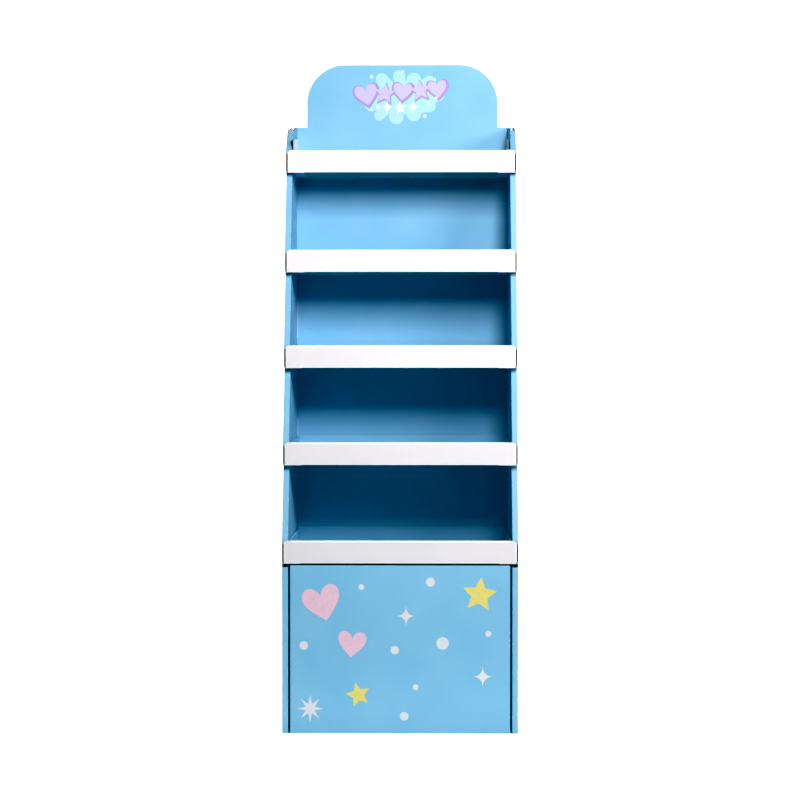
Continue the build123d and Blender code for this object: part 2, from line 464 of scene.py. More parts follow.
class Sheet:
    """A sheet of board, laid out as its printed surface and thickened away from it."""

    FOLD, UNDER = 1, 2  # material slots of the outside, where 0 is the face
    LINER_STEP, EDGE_STEP = 3, 6  # from a slot of the outside to the liner's and the edge's
    FOLD_ANGLE = math.radians(35)
    FOLD_PARTS, ROLL_PARTS = 3, 4  # straight parts over a fold, and over a softer one
    WELD_DISTANCE = 0.01 * MM
    SAME_WAY = 0.9  # least cosine between a panel's normal and the way that it faces

    def __init__(self) -> None:
        """Starts with no panels."""
        self.mesh = bmesh.new()

    def panel(self, corners: Iterable[Point]) -> bmesh.types.BMFace:
        """Adds a flat panel.

        Args:
            corners: Its corners in order.

        Returns:
            The panel.
        """
        return self.mesh.faces.new([self.mesh.verts.new(corner) for corner in corners])

    def between(self, start: Point, end: Point) -> bmesh.types.BMEdge:
        """Finds the edge that joins two corners.

        Args:
            start: One corner.
            end: The other.

        Returns:
            The edge.
        """
        wanted = (Vector(start), Vector(end))
        return min(
            self.mesh.edges,
            key=lambda e: min(
                (e.verts[0].co - wanted[0]).length + (e.verts[1].co - wanted[1]).length,
                (e.verts[1].co - wanted[0]).length + (e.verts[0].co - wanted[1]).length,
            ),
        )

    def weld(self) -> None:
        """Joins panels that share corners."""
        bmesh.ops.remove_doubles(self.mesh, verts=self.mesh.verts[:], dist=self.WELD_DISTANCE)

    def flap(self, edges: Sequence[bmesh.types.BMEdge], reach: Point) -> list[bmesh.types.BMEdge]:
        """Folds a flap out from some edges.

        Args:
            edges: The fold line.
            reach: From the fold line to the flap's free edge.

        Returns:
            The flap's free edges.
        """
        made = bmesh.ops.extrude_edge_only(self.mesh, edges=list(edges))["geom"]
        verts = [item for item in made if isinstance(item, bmesh.types.BMVert)]
        bmesh.ops.translate(self.mesh, verts=verts, vec=Vector(reach))
        return [
            item
            for item in made
            if isinstance(item, bmesh.types.BMEdge) and all(v in verts for v in item.verts)
        ]

    def round_corners(self, corners: Iterable[Point], radius: float, segments: int = 5) -> None:
        """Rounds corners of a panel in its own plane.

        Args:
            corners: Where they are.
            radius: Of the rounding.
            segments: Straight parts that each arc gets.
        """
        verts = [
            min(self.mesh.verts, key=lambda v: (v.co - Vector(corner)).length) for corner in corners
        ]
        bmesh.ops.bevel(
            self.mesh,
            geom=verts,
            offset=radius,
            affect="VERTICES",
            segments=segments,
            profile=0.5,
            material=-1,
        )

    def round_folds(self, folds: Sequence[bmesh.types.BMEdge], radius: float) -> None:
        """Rounds chosen folds, more softly than the rest.

        Args:
            folds: The fold lines.
            radius: Over the outside of the fold.
        """
        bmesh.ops.recalc_face_normals(self.mesh, faces=self.mesh.faces[:])
        self._bevel(folds, radius, self.ROLL_PARTS)

    def _round_sharp_folds(self, convex: bool, radius: float) -> None:
        """Rounds every fold that is still sharp and turns one way.

        Args:
            convex: Whether to take the folds seen from outside, or those seen from inside.
            radius: Of the printed face at the fold.
        """
        folds = []
        for edge in self.mesh.edges:
            if not edge.is_manifold or edge.calc_face_angle() < self.FOLD_ANGLE:
                continue
            if (edge.calc_face_angle_signed() > 0) == convex:
                folds.append(edge)
        if folds:
            self._bevel(folds, radius, self.FOLD_PARTS)

    def _bevel(self, folds: Sequence[bmesh.types.BMEdge], radius: float, segments: int) -> None:
        """Bevels folds and gives them the finish of a fold.

        Args:
            folds: The fold lines.
            radius: Of the printed face at the fold.
            segments: Straight parts over it.
        """
        bmesh.ops.bevel(
            self.mesh,
            geom=list(folds),
            offset=radius,
            affect="EDGES",
            segments=segments,
            profile=0.5,
            material=self.FOLD,
        )

    def finish(
        self,
        name: str,
        finish: BoardFinish,
        printed_towards: tuple[Point, Point],
        nodes: Sequence[str] = (),
    ) -> bpy.types.Object:
        """Rounds the folds, thickens the sheet and puts it in the scene.

        Args:
            name: The piece's name.
            finish: What it is made of.
            printed_towards: A point on the printed surface, and the way that it faces there.
            nodes: The frame's nodes that it stands for.

        Returns:
            The piece.
        """
        mesh = self.mesh
        self.weld()
        bmesh.ops.recalc_face_normals(mesh, faces=mesh.faces[:])
        at, towards = Vector(printed_towards[0]), Vector(printed_towards[1])
        nearest = min(
            (f for f in mesh.faces if abs(f.normal.dot(towards)) > self.SAME_WAY),
            key=lambda f: abs((f.calc_center_bounds() - at).dot(towards)),
        )
        if nearest.normal.dot(towards) < 0:
            bmesh.ops.reverse_faces(mesh, faces=mesh.faces[:])
        self._round_sharp_folds(convex=False, radius=BOARD.inner_fold)
        self._round_sharp_folds(convex=True, radius=BOARD.outer_fold)
        piece = make_object(name, mesh)
        finish.dress(piece)
        board = piece.modifiers.new("board", "SOLIDIFY")
        board.thickness = BOARD.thickness
        board.offset = -1
        board.use_even_offset = True
        board.use_quality_normals = True
        board.material_offset = self.LINER_STEP
        board.material_offset_rim = self.EDGE_STEP
        place(piece, finish.slot, nodes)
        return piece


def make_object(name: str, mesh: bmesh.types.BMesh) -> bpy.types.Object:
    """Puts a bmesh in the scene as an object at the origin, and frees it.

    Args:
        name: The object's name.
        mesh: Its shape.

    Returns:
        The object.
    """
    data = bpy.data.meshes.new(name)
    mesh.to_mesh(data)
    mesh.free()
    piece = bpy.data.objects.new(name, data)
    bpy.context.collection.objects.link(piece)
    return piece


def place(piece: bpy.types.Object, slot: str, nodes: Sequence[str] = ()) -> None:
    """Ties a piece to the frame.

    Args:
        piece: The new piece.
        slot: The record's material slot that it belongs to. Not used.
        nodes: The frame's nodes that it stands for.
    """
    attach(piece, BODY)
    if nodes:
        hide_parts(*nodes)
    log.info("%s: %d faces", piece.name, len(piece.data.polygons))


# ---- Sub-assemblies -----------------------------------------------------------------------------


@dataclass
class Layout:
    """Sizes and places that several pieces share, most of them read from the frame."""

    clearance: float = 0.3 * MM
    wall_thickness: float = 15.0 * MM
    rows: int = 5
    under_lip_step: float = 22.0 * MM  # the walls' front edge steps back this far under a lip
    tray_side_clearance: float = 1.0 * MM
    faces: list[float] = field(default_factory=list)
    lows: list[float] = field(default_factory=list)
    highs: list[float] = field(default_factory=list)

    def __post_init__(self) -> None:
        """Reads the lips, walls and back from the frame."""
        for row in range(1, self.rows + 1):
            low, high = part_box(f"shelf_lip_{row}")
            self.faces.append(low.y)
            self.lows.append(low.z)
            self.highs.append(high.z)
        wall_low, wall_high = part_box("left_side_wall")
        self.half_width = -wall_low.x
        self.inner_half = self.half_width - self.wall_thickness
        self.back = wall_high.y
        self.shoulder = wall_high.z
        self.lip_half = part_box("shelf_lip_1")[1].x
        self.lip_section = BOARD.thickness + self.clearance

    @property
    def tray_half(self) -> float:
        """Half the width of a tray over its side flanges."""
        return self.inner_half - self.tray_side_clearance

    @property
    def hook_half(self) -> float:
        """Half the width of a lip's hook, which drops in between the tray's side flanges."""
        return self.tray_half - 2 * BOARD.thickness - self.clearance

    def wall_edge(self, row: int) -> float:
        """Front edge of the side walls behind a lip, along Y."""
        return self.faces[row] + self.lip_section


@dataclass
class SideWalls:
    """Two hollow side walls, each folded from one sheet."""

    layout: Layout
    crown_setback: float = 66.0 * MM  # top of the front slope, behind the top lip
    crown_height: float = 57.0 * MM  # and above it
    crown_rise: float = 24.0 * MM  # from there to the back
    slot_start: float = 4.5 * MM  # the lip tab's slot, above the lip's lower edge
    slot_height: float = 45.0 * MM
    slot_width: float = 7.0 * MM
    plinth_return_gap: float = 9.0 * MM  # left open under the lowest lip

    def build(self, finish: BoardFinish) -> None:
        """Makes both walls.

        Args:
            finish: The printed board.
        """
        for side, name in ((-1, "left_side_wall"), (1, "right_side_wall")):
            self._wall(side, name, finish)

    def _front(self) -> list[Outline]:
        """Works out the front edge from the floor up.

        Returns:
            Runs of points in Y and Z: the plinth's run, then one for each row.
        """
        plan = self.layout
        foot = plan.wall_edge(0)
        runs = [[(foot, 0.0), (foot, plan.lows[0] - self.plinth_return_gap)]]
        for row in range(plan.rows):
            edge, low, high = plan.wall_edge(row), plan.lows[row], plan.highs[row]
            slot_low = low + self.slot_start
            run = [(edge, low), (edge, slot_low), (edge, slot_low + self.slot_height), (edge, high)]
            if row + 1 < plan.rows:
                run.append((plan.wall_edge(row + 1) + plan.under_lip_step, plan.lows[row + 1]))
            else:
                run.append((edge + self.crown_setback, high + self.crown_height))
            runs.append(run)
        return runs

    def _wall(self, side: int, name: str, finish: BoardFinish) -> None:
        """Folds one wall: outer skin, front returns and inner skin.

        Args:
            side: -1 for the left wall and 1 for the right.
            name: The wall's name.
            finish: The printed board.
        """
        plan = self.layout
        outer_x, inner_x = side * plan.half_width, side * plan.inner_half
        slot_x = outer_x - side * self.slot_width
        runs = self._front()
        skin_back = plan.back - BOARD.thickness - plan.clearance
        front = [point for run in runs for point in run]
        crown_y, crown_z = front[-1]
        slope = self.crown_rise / (plan.back - crown_y)
        sheet = Sheet()
        for x, rear in ((outer_x, plan.back), (inner_x, skin_back)):
            outline = front + [(rear, crown_z + slope * (rear - crown_y)), (rear, 0.0)]
            sheet.panel((x, y, z) for y, z in outline)
        for run in runs:
            for number, (low, high) in enumerate(zip(run, run[1:])):
                slotted = len(run) > 2 and number == 1  # where the lip's end tab goes in
                start_x = slot_x if slotted else outer_x
                sheet.panel(
                    [(start_x, *low), (inner_x, *low), (inner_x, *high), (start_x, *high)]
                )
        mid = (outer_x, 0.0, plan.lows[0] / 2)
        sheet.finish(name, finish, (mid, (side, 0.0, 0.0)), [name])


@dataclass
class BackAndHeader:
    """Back panel with its glue flaps, and the header card in front of it."""

    layout: Layout
    flap_depth: float = 60.0 * MM
    flap_stop: float = 40.0 * MM  # under the panel's top
    header_half: float = 257.0 * MM  # half width of the card above the side walls
    corner_radius: float = 103.0 * MM
    arc_parts: int = 20
    bare_width: float = 2.4 * MM
    bare_runs: tuple[Pair, ...] = (  # start above the lower edge of the row's lip, and length
        (92.0 * MM, 55.0 * MM),
        (61.0 * MM, 50.0 * MM),
        (82.0 * MM, 100.0 * MM),
    )

    def build(self, finish: BoardFinish) -> None:
        """Makes both pieces.

        Args:
            finish: The printed board.
        """
        self._back(finish)
        self._header(finish)

    def _back(self, finish: BoardFinish) -> None:
        """Folds the back panel.

        Args:
            finish: The printed board.
        """
        plan = self.layout
        low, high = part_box("back_panel")
        face_y = plan.back - BOARD.thickness
        half = high.x - BOARD.thickness
        flap_top = high.z - self.flap_stop
        sheet = Sheet()
        sheet.panel(
            [
                (-half, face_y, 0),
                (half, face_y, 0),
                (half, face_y, flap_top),
                (half, face_y, high.z),
                (-half, face_y, high.z),
                (-half, face_y, flap_top),
            ]
        )
        for x in (-half, half):
            fold = sheet.between((x, face_y, 0), (x, face_y, flap_top))
            sheet.flap([fold], (0, -self.flap_depth, 0))
        sheet.finish(
            "back_panel", finish, ((0, face_y, high.z / 2), (0, -1, 0)), ["back_panel"]
        )
        self._bare_corners(face_y)

    def _bare_corners(self, face_y: float) -> None:
        """Adds bare paper in the left corner of three bays, where the print stops short.

        Args:
            face_y: The back panel's printed face.
        """
        left = -self.layout.inner_half
        right = left + self.bare_width
        outlines = []
        for row, (start, length) in enumerate(self.bare_runs):
            low = self.layout.lows[row] + start
            high = low + length
            outlines.append([(left, low), (right, low), (right, high), (left, high)])
        # coated paper without its print: a paler, duller strip
        paper = CoatedFace("bare paper beside the print", "#D8CDD3", roughness=0.8)
        print_shapes("back_panel_bare_corners", outlines, face_y - PRINT_LIFT, paper.make())

    def _header(self, finish: BoardFinish) -> None:
        """Cuts the header card.

        Args:
            finish: The printed board.
        """
        plan = self.layout
        low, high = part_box("header_card")
        half = self.header_half
        outline = [
            (low.x, low.z),
            (high.x, low.z),
            (high.x, plan.shoulder),
            (half, plan.shoulder),
            (half, high.z),
            (-half, high.z),
            (-half, plan.shoulder),
            (low.x, plan.shoulder),
        ]
        sheet = Sheet()
        sheet.panel((x, low.y, z) for x, z in outline)
        tops = [(half, low.y, high.z), (-half, low.y, high.z)]
        sheet.round_corners(tops, self.corner_radius, self.arc_parts)
        sheet.finish("header_card", finish, ((0, low.y, high.z), (0, -1, 0)), ["header_card"])


@dataclass
class ShelfTrays:
    """Five trays, each a floor with upstands all round."""

    layout: Layout
    rear_upstand: float = 64.0 * MM
    side_flange: float = 57.0 * MM
    top_flange_front: float = 84.0 * MM  # height of the top tray's side flanges at the front
    top_flange_rise: float = 21.0 * MM  # and how much taller they are at the rear
    top_flange_corner: float = 9.0 * MM
    corner_gap: float = 1.5 * MM
    hem_radius: float = 2.9 * MM  # over the crest where a flange is folded back down

    def build(self, lower: BoardFinish, top: BoardFinish) -> None:
        """Makes the trays.

        Args:
            lower: Board of all trays but the top one.
            top: Board of the top tray.
        """
        for row in range(self.layout.rows):
            topmost = row == self.layout.rows - 1
            self._tray(row, topmost, top if topmost else lower)

    def _tray(self, row: int, topmost: bool, finish: BoardFinish) -> None:
        """Folds one tray up from its floor.

        Args:
            row: Counted from the lowest shelf, 0.
            topmost: Whether it is the top tray.
            finish: Its board.
        """
        plan = self.layout
        name = f"shelf_tray_{row + 1}"
        low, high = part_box(name)
        half, front, rear, floor = plan.tray_half, low.y, high.y, low.z
        start = front + BOARD.thickness + self.corner_gap
        end = rear - BOARD.thickness - self.corner_gap
        right = [(half, front), (half, start), (half, end), (half, rear)]
        left = [(-x, y) for x, y in reversed(right)]
        sheet = Sheet()
        sheet.panel((x, y, floor) for x, y in right + left)
        front_top = plan.highs[row] - plan.lip_section
        for y, top_z in ((front, front_top), (rear, floor + self.rear_upstand)):
            fold = sheet.between((-half, y, floor), (half, y, floor))
            sheet.flap([fold], (0, 0, top_z - floor))
        for side in (-1, 1):
            fold = sheet.between((side * half, start, floor), (side * half, end, floor))
            if topmost:
                self._top_flange(sheet, side * half, start, end, floor)
            else:
                self._hemmed_flange(sheet, fold, side)
        sheet.finish(name, finish, ((0, (front + rear) / 2, floor), (0, 0, -1)), [name])

    def _hemmed_flange(self, sheet: Sheet, fold: bmesh.types.BMEdge, side: int) -> None:
        """Folds a side flange up, and back down on its inside.

        Args:
            sheet: The tray.
            fold: Its fold line along the floor.
            side: -1 for the left flange and 1 for the right.
        """
        crest = sheet.flap([fold], (0, 0, self.side_flange))
        inner = sheet.flap(crest, (-2 * side * BOARD.thickness, 0, 0))
        sheet.flap(inner, (0, 0, BOARD.thickness - self.side_flange))
        sheet.round_folds(crest + inner, self.hem_radius)

    def _top_flange(self, sheet: Sheet, x: float, start: float, end: float, floor: float) -> None:
        """Adds a single side flange whose top rises to the back.

        Args:
            sheet: The tray.
            x: Where the flange stands.
            start: Its front end, along Y.
            end: Its rear end.
            floor: The underside of the tray.
        """
        front_top = floor + self.top_flange_front
        tips = [(x, end, front_top + self.top_flange_rise), (x, start, front_top)]
        sheet.panel([(x, start, floor), (x, end, floor), *tips])
        sheet.round_corners(tips, self.top_flange_corner)


@dataclass
class ShelfLips:
    """White lips that cap the front edges of the trays."""

    layout: Layout
    corner_radius: float = 9.8 * MM
    top_roll: float = 4.4 * MM  # radius of the folds over the tray's front edge
    foot_roll: float = 2.2 * MM  # of the fold along the lower edge
    end_roll: float = 3.1 * MM  # of the folds into the end tabs
    hook_drop: float = 44.0 * MM
    tab_depth: float = 11.0 * MM
    tab_start: float = 5.0 * MM  # above the lip's lower edge
    tab_height: float = 44.0 * MM
    underflap_width: float = 504.0 * MM
    notch_width: float = 236.0 * MM  # of the cut-out in the underflap's rear edge
    notch_depth: float = 88.0 * MM
    notch_slant: float = 8.0 * MM
    point_width: float = 54.0 * MM  # of the pointed tongue that is left in the cut-out
    point_length: float = 78.0 * MM

    def build(self, finish: BoardFinish) -> None:
        """Makes the lips.

        Args:
            finish: The white board.
        """
        for row in range(self.layout.rows):
            self._lip(row, finish)

    def _lip(self, row: int, finish: BoardFinish) -> None:
        """Folds one lip: face, hook over the tray, flap under it and a tab at each end.

        Args:
            row: Counted from the lowest shelf, 0.
            finish: The white board.
        """
        plan = self.layout
        face, low, high = plan.faces[row], plan.lows[row], plan.highs[row]
        end, hook_half = plan.lip_half, plan.hook_half
        flap_half = self.underflap_width / 2
        tab_low = low + self.tab_start
        tab_high = tab_low + self.tab_height
        right = [
            (flap_half, low),
            (flap_half + plan.clearance, low),
            (end, low),
            (end, tab_low),
            (end, tab_high),
            (end, high),
            (hook_half + plan.clearance, high),
            (hook_half, high),
        ]
        left = [(-x, z) for x, z in reversed(right)]
        sheet = Sheet()
        sheet.panel((x, face, z) for x, z in right + left)
        sheet.round_corners([(end, face, high), (-end, face, high)], self.corner_radius)
        hook_depth = plan.lip_section + 2 * BOARD.thickness + plan.clearance
        top = sheet.between((-hook_half, face, high), (hook_half, face, high))
        crest = sheet.flap([top], (0, hook_depth, 0))
        sheet.flap(crest, (0, 0, -self.hook_drop))
        ends = [sheet.between((x, face, tab_low), (x, face, tab_high)) for x in (-end, end)]
        for fold in ends:
            sheet.flap([fold], (0, self.tab_depth + BOARD.thickness, 0))
        name = f"shelf_lip_{row + 1}"
        self._underflap(sheet, face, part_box(name)[1].y, low)
        sheet.weld()
        foot = sheet.between((-flap_half, face, low), (flap_half, face, low))
        for folds, radius in (
            ([top, *crest], self.top_roll),
            ([foot], self.foot_roll),
            (ends, self.end_roll),
        ):
            sheet.round_folds(folds, radius)
        # faces below the middle of the foot roll take the underside's finish, painted shade where
        # they face down
        for part in sheet.mesh.faces:
            if part.calc_center_bounds().z < low + self.foot_roll / 2:
                part.material_index = sheet.UNDER
        sheet.finish(name, finish, ((0, face, (low + high) / 2), (0, -1, 0)), [name])

    def _underflap(self, sheet: Sheet, face: float, rear: float, low: float) -> None:
        """Adds the flap under the tray, with a cut-out in its rear edge and a tongue in that.

        Args:
            sheet: The lip.
            face: Its front, along Y.
            rear: The flap's rear edge.
            low: The lip's lower edge.
        """
        half = self.underflap_width / 2
        notch = rear - self.notch_depth
        right = [
            (half, face),
            (half, rear),
            (self.notch_width / 2, rear),
            (self.notch_width / 2 - self.notch_slant, notch),
            (self.point_width / 2, notch),
        ]
        left = [(-x, y) for x, y in reversed(right)]
        point = [(0.0, notch + self.point_length)]
        flap = sheet.panel((x, y, low) for x, y in right + point + left)
        # the underflap takes the underside's finish, painted shade under the shelf
        flap.material_index = sheet.UNDER


@dataclass
class Plinth:
    """Plinth box, one sheet folded into a tube, and the plain dividers that stand in it."""

    dividers: tuple[str, ...] = (
        "plinth_divider_long",
        "plinth_divider_left",
        "plinth_divider_right",
    )

    def build(self, finish: BoardFinish) -> None:
        """Makes the box.

        Args:
            finish: The printed board.
        """
        low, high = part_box("plinth_box")
        ring = [(low.x, low.y), (high.x, low.y), (high.x, high.y), (low.x, high.y)]
        sheet = Sheet()
        for (x0, y0), (x1, y1) in zip(ring, ring[1:] + ring[:1]):
            sheet.panel([(x0, y0, low.z), (x1, y1, low.z), (x1, y1, high.z), (x0, y0, high.z)])
        middle = (0, low.y, high.z / 2)
        sheet.finish("plinth_box", finish, (middle, (0, -1, 0)), ["plinth_box"])

    def dress_dividers(self, kraft: bpy.types.Material) -> None:
        """Gives the dividers, which keep the frame's own shapes, their plain board.

        Args:
            kraft: Plain kraft liner.
        """
        for name in self.dividers:
            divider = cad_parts[name]
            divider.data.materials.clear()
            divider.data.materials.append(kraft)
            log.info("%s: dressed", name)


# ---- Print --------------------------------------------------------------------------------------


class Motif(Enum):
    """Shapes that are printed on the stand."""

    DOT = "dot"
    HEART = "heart"
    STAR = "star"
    SPARKLE = "sparkle"
    BURST = "burst"


def bezier(
    start: Pair, pull_start: Pair, pull_end: Pair, end: Pair, parts: int = 12
) -> Outline:
    """Points along a cubic curve, without its last one.

    Args:
        start: Where it starts.
        pull_start: The handle at its start.
        pull_end: The handle at its end.
        end: Where it ends.
        parts: Straight parts of the curve.

    Returns:
        The points.
    """
    points = []
    for i in range(parts):
        t = i / parts
        shares = ((1 - t) ** 3, 3 * t * (1 - t) ** 2, 3 * t**2 * (1 - t), t**3)
        corners = (start, pull_start, pull_end, end)
        points.append(tuple(sum(w * c[axis] for w, c in zip(shares, corners)) for axis in (0, 1)))
    return points


def heart_outline() -> Outline:
    """Heart with narrow lobes and a deep notch, one unit wide on each side.

    Returns:
        Points going round once.
    """
    notch, shoulder, tip = (0.0, 0.30), (1.0, 0.34), (0.0, -1.0)
    lobe = bezier(notch, (0.10, 0.95), (0.98, 1.10), shoulder)
    flank = bezier(shoulder, (0.99, -0.12), (0.52, -0.50), tip)
    half = lobe + flank
    return half + [(-x, z) for x, z in [tip, *reversed(half[1:])]]


def spiked_outline(spikes: int, valley: float, blunt: float) -> Outline:
    """Star with straight flanks and slightly blunt tips.

    Args:
        spikes: Number of tips.
        valley: Reach of the valleys, where a tip reaches 1.
        blunt: Share of a flank that the rounding of a tip takes.

    Returns:
        Points going round once.
    """
    points = []
    for i in range(spikes):
        tip, before, after = (
            Vector((reach * math.sin(-turn), reach * math.cos(turn)))
            for reach, turn in (
                (1.0, 2 * math.pi * i / spikes),
                (valley, 2 * math.pi * (i - 0.5) / spikes),
                (valley, 2 * math.pi * (i + 0.5) / spikes),
            )
        )
        start, end = tip.lerp(before, blunt), tip.lerp(after, blunt)
        points.append(tuple(before))
        for t in (0.0, 0.25, 0.5, 0.75, 1.0):
            points.append(tuple(start.lerp(tip, t).lerp(tip.lerp(end, t), t)))
    return points


def motif_outline(motif: Motif, size: float) -> Outline:
    """Outline of a printed shape round its middle.

    Args:
        motif: Which shape.
        size: From the middle to the outermost point.

    Returns:
        Points going round once.
    """
    if motif is Motif.HEART:
        unit = heart_outline()
    elif motif is Motif.STAR:
        unit = spiked_outline(spikes=5, valley=0.47, blunt=0.12)
    elif motif is Motif.BURST:
        unit = spiked_outline(spikes=8, valley=0.36, blunt=0.05)
    else:
        unit = drawn_in_circle(4 if motif is Motif.SPARKLE else 1)
    return [(size * x, size * z) for x, z in unit]


def drawn_in_circle(power: int, parts: int = 48) -> Outline:
    """Circle whose quarters are drawn in towards its middle.

    Args:
        power: 1 for a plain circle, and more for longer and thinner tips.
        parts: Points in the outline.

    Returns:
        Points going round once.
    """
    turns = [2 * math.pi * i / parts for i in range(parts)]
    return [
        tuple(math.copysign(abs(part) ** power, part) for part in (math.cos(turn), math.sin(turn)))
        for turn in turns
    ]


def puff_outline(lobes: Sequence[Point], parts: int = 160) -> Outline:
    """Outline of round lobes that overlap and lie round the origin.

    Args:
        lobes: The x and y of each lobe's middle, and its radius.
        parts: Points in the outline.

    Returns:
        Points going round once.
    """
    points = []
    for i in range(parts):
        turn = 2 * math.pi * i / parts
        way = Vector((math.cos(turn), math.sin(turn)))
        reach = 0.0
        for x, y, radius in lobes:
            along = way.dot(Vector((x, y)))
            aside = Vector((x, y)).length_squared - along**2
            if aside < radius**2:
                reach = max(reach, along + math.sqrt(radius**2 - aside))
        points.append((reach * way.x, reach * way.y))
    return points


@dataclass(frozen=True)
class PrintedShape:
    """One printed shape, placed in millimetres on its panel."""

    motif: Motif
    x_mm: float
    z_mm: float
    size_mm: float
    tilt: float = 0.0  # degrees, anticlockwise
    stretch: float = 1.0  # height over width

    def points(self) -> Outline:
        """Places the shape on its panel.

        Returns:
            Its outline in metres.
        """
        turn = math.radians(self.tilt)
        cos, sin = math.cos(turn), math.sin(turn)
        middle_x, middle_z = self.x_mm * MM, self.z_mm * MM
        placed = []
        for x, z in motif_outline(self.motif, self.size_mm * MM):
            z *= self.stretch
            placed.append((middle_x + x * cos - z * sin, middle_z + x * sin + z * cos))
        return placed


@dataclass(frozen=True)
class Ink:
    """Opaque screen ink on coated board: even colour, slight sheen, pinholes where it missed."""

    name: str
    colour: str
    pinholes: float = 0.0
    mottle: float = 0.03

    def make(self) -> bpy.types.Material:
        """Builds the node material, where a pinhole shows the blue underneath."""
        return CoatedFace(
            self.name, self.colour, mottle=self.mottle, wear=self.pinholes, bare=BLUE_INK
        ).make()


def print_shapes(
    name: str, outlines: Sequence[Outline], y: float, ink: bpy.types.Material
) -> bpy.types.Object:
    """Lays one layer of printed shapes on a panel that faces the front.

    Args:
        name: The piece's name.
        outlines: Each shape's outline in X and Z.
        y: Where the layer lies.
        ink: Its material.

    Returns:
        The piece.
    """
    mesh = bmesh.new()
    for number, outline in enumerate(outlines):
        own_y = y - number * SHAPE_LIFT
        mesh.faces.new([mesh.verts.new((x, own_y, z)) for x, z in outline])
    bmesh.ops.recalc_face_normals(mesh, faces=mesh.faces[:])
    turned = [face for face in mesh.faces if face.normal.y > 0]
    bmesh.ops.reverse_faces(mesh, faces=turned)
    bmesh.ops.triangulate(mesh, faces=mesh.faces[:])
    piece = make_object(name, mesh)
    piece.data.materials.append(ink)
    place(piece, "printed_board")
    return piece


@dataclass
class PlinthPrint:
    """Hearts, stars, sparkles and dots on the front of the plinth."""

    pink: tuple[PrintedShape, ...] = (
        PrintedShape(Motif.HEART, -198.2, 333.9, 48.0, tilt=14),
        PrintedShape(Motif.HEART, -122.2, 229.5, 35.8, tilt=-5),
    )
    yellow: tuple[PrintedShape, ...] = (
        PrintedShape(Motif.STAR, 202.1, 353.5, 46.5, tilt=-6),
        PrintedShape(Motif.STAR, -106.2, 98.7, 32.5, tilt=14),
    )
    white: tuple[PrintedShape, ...] = (
        PrintedShape(Motif.DOT, -98.3, 372.9, 7.4),
        PrintedShape(Motif.DOT, 77.2, 385.7, 11.5),
        PrintedShape(Motif.DOT, -244.8, 223.9, 11.0),
        PrintedShape(Motif.DOT, -13.2, 212.4, 11.0),
        PrintedShape(Motif.DOT, 108.3, 229.8, 16.0),
        PrintedShape(Motif.DOT, 224.2, 254.7, 7.6),
        PrintedShape(Motif.DOT, 40.0, 118.2, 7.4),
        PrintedShape(Motif.DOT, 10.7, 43.8, 11.0),
        PrintedShape(Motif.SPARKLE, 15.1, 299.4, 25.5, stretch=1.15),
        PrintedShape(Motif.SPARKLE, 210.2, 145.2, 27.0, stretch=1.12),
        PrintedShape(Motif.BURST, -228.8, 62.9, 34.0, stretch=1.05),
    )

    def build(self) -> None:
        """Prints the plinth."""
        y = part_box("plinth_box")[0].y - PRINT_LIFT
        inks = (
            ("plinth_hearts", self.pink, Ink("pink ink", "#E6BFCF", 0.01)),
            ("plinth_stars", self.yellow, Ink("yellow ink", "#E3CF78", 0.03)),
            ("plinth_dots_and_sparkles", self.white, Ink("white ink on the plinth", "#DCD8DE")),
        )
        for name, shapes, ink in inks:
            print_shapes(name, [shape.points() for shape in shapes], y, ink.make())


